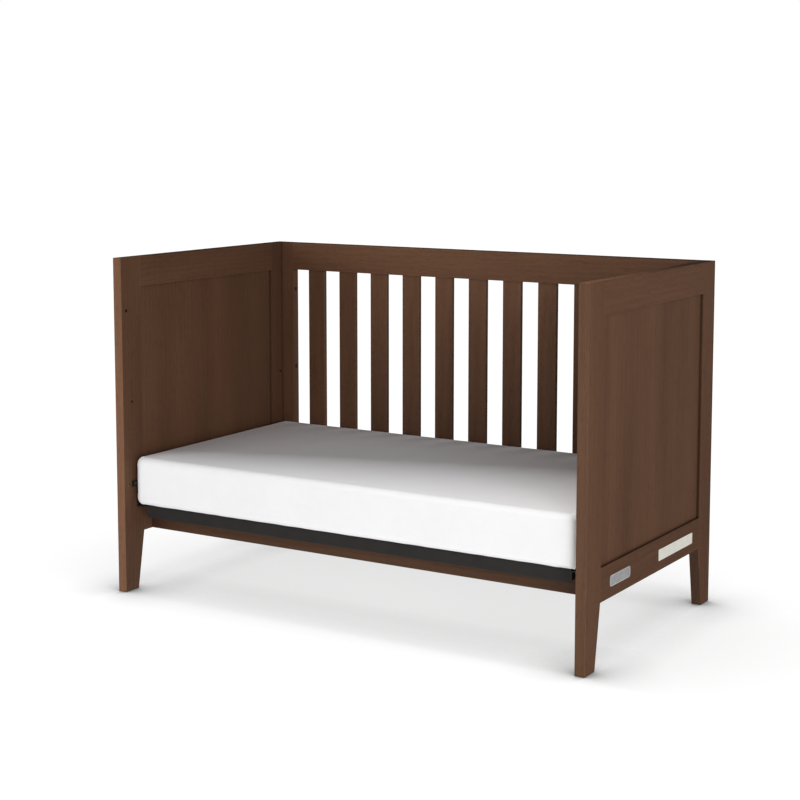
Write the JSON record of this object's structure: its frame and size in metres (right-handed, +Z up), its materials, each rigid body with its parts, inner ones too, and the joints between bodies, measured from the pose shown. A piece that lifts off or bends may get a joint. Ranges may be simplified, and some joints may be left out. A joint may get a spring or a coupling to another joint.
{
  "type": "baby crib",
  "caption": "Convertible crib as an open-front day bed: panelled ends on tapered legs, slatted back, front stretcher, sprung steel mattress support, mattress in a white fitted sheet.",
  "frame": {"origin": "on the floor at the middle of the footprint", "axes": "+X along the length towards the end with the plates, +Y towards the slatted back, +Z up"},
  "size_m": [1.3843, 0.748, 0.9],
  "materials": {
    "walnut_wood": "dark walnut stain under a satin lacquer",
    "frame_steel": "dark grey powder coat",
    "wire_steel": "drawn spring wire",
    "bracket_steel": "zinc plated",
    "zinc_steel": "zinc plated",
    "insert_brass": "plain",
    "glide_plastic": "moulded nylon",
    "badge_metal": "brushed, blank",
    "label_vinyl": "blank matt vinyl",
    "mattress_cover": "quilted ticking",
    "sheet_cotton": "plain-weave cotton"
  },
  "bodies": {
    "crib_frame": {"left_front_leg": "walnut_wood", "left_rear_leg": "walnut_wood", "left_top_rail": "walnut_wood", "left_bottom_rail": "walnut_wood", "left_panel": "walnut_wood", "right_front_leg": "walnut_wood", "right_rear_leg": "walnut_wood", "right_top_rail": "walnut_wood", "right_bottom_rail": "walnut_wood", "right_panel": "walnut_wood", "back_left_stile": "walnut_wood", "back_right_stile": "walnut_wood", "back_top_rail": "walnut_wood", "back_bottom_rail": "walnut_wood", "back_slat_01": "walnut_wood", "back_slat_02": "walnut_wood", "back_slat_03": "walnut_wood", "back_slat_04": "walnut_wood", "back_slat_05": "walnut_wood", "back_slat_06": "walnut_wood", "back_slat_07": "walnut_wood", "back_slat_08": "walnut_wood", "back_slat_09": "walnut_wood", "back_slat_10": "walnut_wood", "back_slat_11": "walnut_wood", "front_stretcher": "walnut_wood", "stretcher_brackets": "bracket_steel", "stretcher_screws": "zinc_steel", "back_bolts": "zinc_steel", "back_inserts": "insert_brass", "front_rail_inserts": "insert_brass", "support_inserts_upper": "insert_brass", "support_inserts_lower": "insert_brass", "support_bolts": "zinc_steel", "floor_glides": "glide_plastic", "badge_plate": "badge_metal", "label_strip": "label_vinyl"},
    "mattress_support": {"support_front_rail": "frame_steel", "support_rear_rail": "frame_steel", "support_left_bar": "frame_steel", "support_right_bar": "frame_steel", "support_cross_tubes": "frame_steel", "deck_long_wires": "wire_steel", "deck_cross_wires": "wire_steel", "deck_springs": "wire_steel", "front_left_fork": "frame_steel", "rear_left_fork": "frame_steel", "front_right_fork": "frame_steel", "rear_right_fork": "frame_steel"},
    "mattress": {"mattress_core": "mattress_cover", "fitted_sheet": "sheet_cotton"}
  },
  "joints": [
    {"name": "support_height", "type": "slide", "parent": "crib_frame", "child": "mattress_support", "axis": [0, 0, 1], "range_m": [0, 0.221]},
    {"name": "mattress_lift", "type": "slide", "parent": "mattress_support", "child": "mattress", "axis": [0, 0, 1], "range_m": [0, 0.7]}
  ]
}
